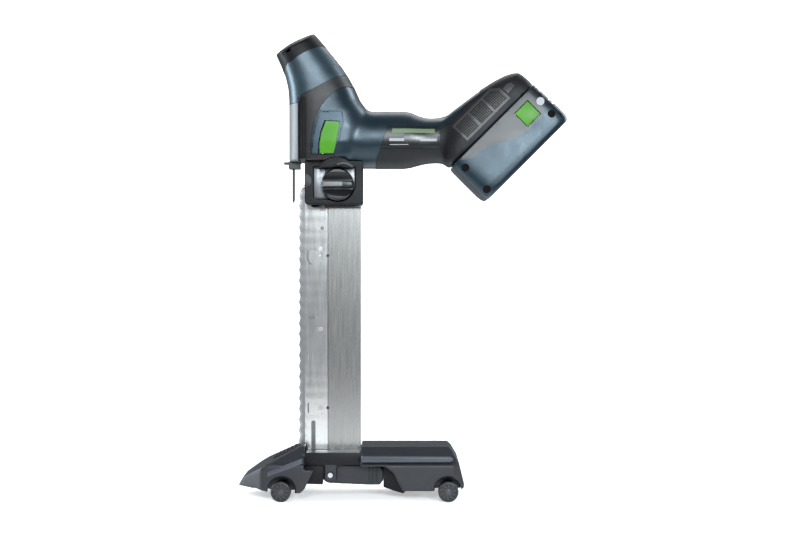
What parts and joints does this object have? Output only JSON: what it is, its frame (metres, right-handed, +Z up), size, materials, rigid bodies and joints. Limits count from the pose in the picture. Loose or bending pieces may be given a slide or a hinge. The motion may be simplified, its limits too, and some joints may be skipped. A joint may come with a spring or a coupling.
{
  "type": "cordless insulation saw",
  "caption": "Barrel-grip cordless saw for insulation boards: counter-moving wave-edged blades in a vertical guide rail, a knob clamp, a roller shoe and an angled slide-off battery pack.",
  "frame": {"origin": "centre of the bounding box's bottom face, on the surface that the rollers stand on", "axes": "+Z up along the guide rail, +X towards the battery pack, -Y is the side with the clamp knob"},
  "size_m": [0.3318, 0.096, 0.4683],
  "materials": {
    "housing_blue": "satin moulded dark teal-blue",
    "cover_brown": "fine-textured brown-black",
    "band_grey": "satin light grey",
    "black_plastic": "matt black",
    "plate_black": "semi-gloss black inlay",
    "grip_rubber": "soft textured grip",
    "button_green": "satin lime green",
    "shoe_grey": "satin slate grey",
    "label_grey": "printed grey film",
    "stainless": "brushed, grain along the blade",
    "blade_steel": "ground and polished",
    "clamp_plate": "matt die-cast",
    "steel": "machined",
    "motor_steel": "laminated",
    "copper_board": "circuit board",
    "cell_wrap": "cell sleeve"
  },
  "bodies": {
    "machine": {"housing_left": "housing_blue", "housing_right": "housing_blue", "head_shell": "housing_blue", "gear_cover": "cover_brown", "front_cover": "band_grey", "top_cap": "black_plastic", "handle_plate_left": "plate_black", "handle_plate_right": "plate_black", "grip_rubber_left": "grip_rubber", "grip_rubber_right": "grip_rubber", "vent_grille_left": "black_plastic", "vent_grille_right": "black_plastic", "housing_screws": "steel", "motor_stator": "motor_steel", "motor_bearings": "steel", "gearbox_plate": "clamp_plate", "crank_bearing": "steel", "plunger_bush": "black_plastic", "control_board": "copper_board", "switch_block": "black_plastic", "terminal_block": "black_plastic", "clamp_frame": "black_plastic", "clamp_plate": "clamp_plate", "guide_rail": "stainless", "guard_rod": "black_plastic", "guard_bracket": "black_plastic", "shoe_shell": "shoe_grey", "guide_socket": "black_plastic", "lever_pin": "steel", "roller_axles": "steel", "shoe_screws": "steel"},
    "switch_left": {"switch_button_left": "button_green"},
    "switch_right": {"switch_button_right": "button_green"},
    "motor_rotor": {"rotor": "motor_steel", "fan": "black_plastic", "pinion": "steel"},
    "crank": {"crank_gear": "steel"},
    "saw_a": {"plunger_a": "steel", "blade_a": "blade_steel", "blade_rivets": "steel"},
    "saw_b": {"plunger_b": "steel", "blade_b": "blade_steel"},
    "knob": {"clamp_knob": "black_plastic", "knob_spindle": "steel"},
    "lever": {"clamp_lever": "shoe_grey"},
    "roller_fl": {"roller_front_left": "black_plastic"},
    "roller_fr": {"roller_front_right": "black_plastic"},
    "roller_rl": {"roller_rear_left": "black_plastic"},
    "roller_rr": {"roller_rear_right": "black_plastic"},
    "pack": {"battery_case": "housing_blue", "battery_lid": "black_plastic", "battery_cells": "cell_wrap", "battery_labels": "label_grey", "battery_screws": "steel", "battery_spring_left": "steel", "battery_spring_right": "steel"},
    "latch_left": {"battery_button_left": "button_green"},
    "latch_right": {"battery_button_right": "button_green"}
  },
  "joints": [
    {"name": "switch_left_press", "type": "slide", "parent": "machine", "child": "switch_left", "axis": [0, 1, 0], "range_m": [0, 0.0025], "stiffness_N_per_m": 400, "springref_m": -0.002},
    {"name": "switch_right_press", "type": "slide", "parent": "machine", "child": "switch_right", "axis": [0, -1, 0], "range_m": [0, 0.0025], "stiffness_N_per_m": 400, "springref_m": -0.002},
    {"name": "rotor_spin", "type": "hinge", "parent": "machine", "child": "motor_rotor", "pos_m": [-0.02, 0, 0.3605], "axis": [1, 0, 0], "continuous": true},
    {"name": "crank_spin", "type": "hinge", "parent": "machine", "child": "crank", "pos_m": [-0.07, 0, 0.3829], "axis": [1, 0, 0], "continuous": true},
    {"name": "saw_a_stroke", "type": "slide", "parent": "machine", "child": "saw_a", "axis": [0, 0, 1], "range_m": [-0.013, 0.013]},
    {"name": "saw_b_stroke", "type": "slide", "parent": "machine", "child": "saw_b", "axis": [0, 0, 1], "range_m": [-0.013, 0.013]},
    {"name": "knob_turn", "type": "hinge", "parent": "machine", "child": "knob", "pos_m": [-0.0642, -0.02, 0.3141], "axis": [0, 1, 0], "range_deg": [0, 90]},
    {"name": "lever_swing", "type": "hinge", "parent": "machine", "child": "lever", "pos_m": [-0.0713, 0, 0.0236], "axis": [0, 1, 0], "range_deg": [0, 60]},
    {"name": "roller_front_left_spin", "type": "hinge", "parent": "machine", "child": "roller_fl", "pos_m": [-0.1192, -0.044, 0.01], "axis": [0, 1, 0], "continuous": true},
    {"name": "roller_front_right_spin", "type": "hinge", "parent": "machine", "child": "roller_fr", "pos_m": [-0.1192, 0.044, 0.01], "axis": [0, 1, 0], "continuous": true},
    {"name": "roller_rear_left_spin", "type": "hinge", "parent": "machine", "child": "roller_rl", "pos_m": [0.0457, -0.044, 0.01], "axis": [0, 1, 0], "continuous": true},
    {"name": "roller_rear_right_spin", "type": "hinge", "parent": "machine", "child": "roller_rr", "pos_m": [0.0457, 0.044, 0.01], "axis": [0, 1, 0], "continuous": true},
    {"name": "pack_slide", "type": "slide", "parent": "machine", "child": "pack", "axis": [0.7071, 0, 0.7071], "range_m": [0, 0.1]},
    {"name": "latch_left_press", "type": "slide", "parent": "pack", "child": "latch_left", "axis": [0, 1, 0], "range_m": [0, 0.0015], "stiffness_N_per_m": 400, "springref_m": -0.002, "deforming": ["battery_spring_left"]},
    {"name": "latch_right_press", "type": "slide", "parent": "pack", "child": "latch_right", "axis": [0, -1, 0], "range_m": [0, 0.0015], "stiffness_N_per_m": 400, "springref_m": -0.002, "deforming": ["battery_spring_right"]}
  ],
  "couplings": [
    {"joint": "crank_spin", "follows": "rotor_spin", "ratio": -0.21739},
    {"joint": "saw_b_stroke", "follows": "saw_a_stroke", "ratio": -1}
  ]
}
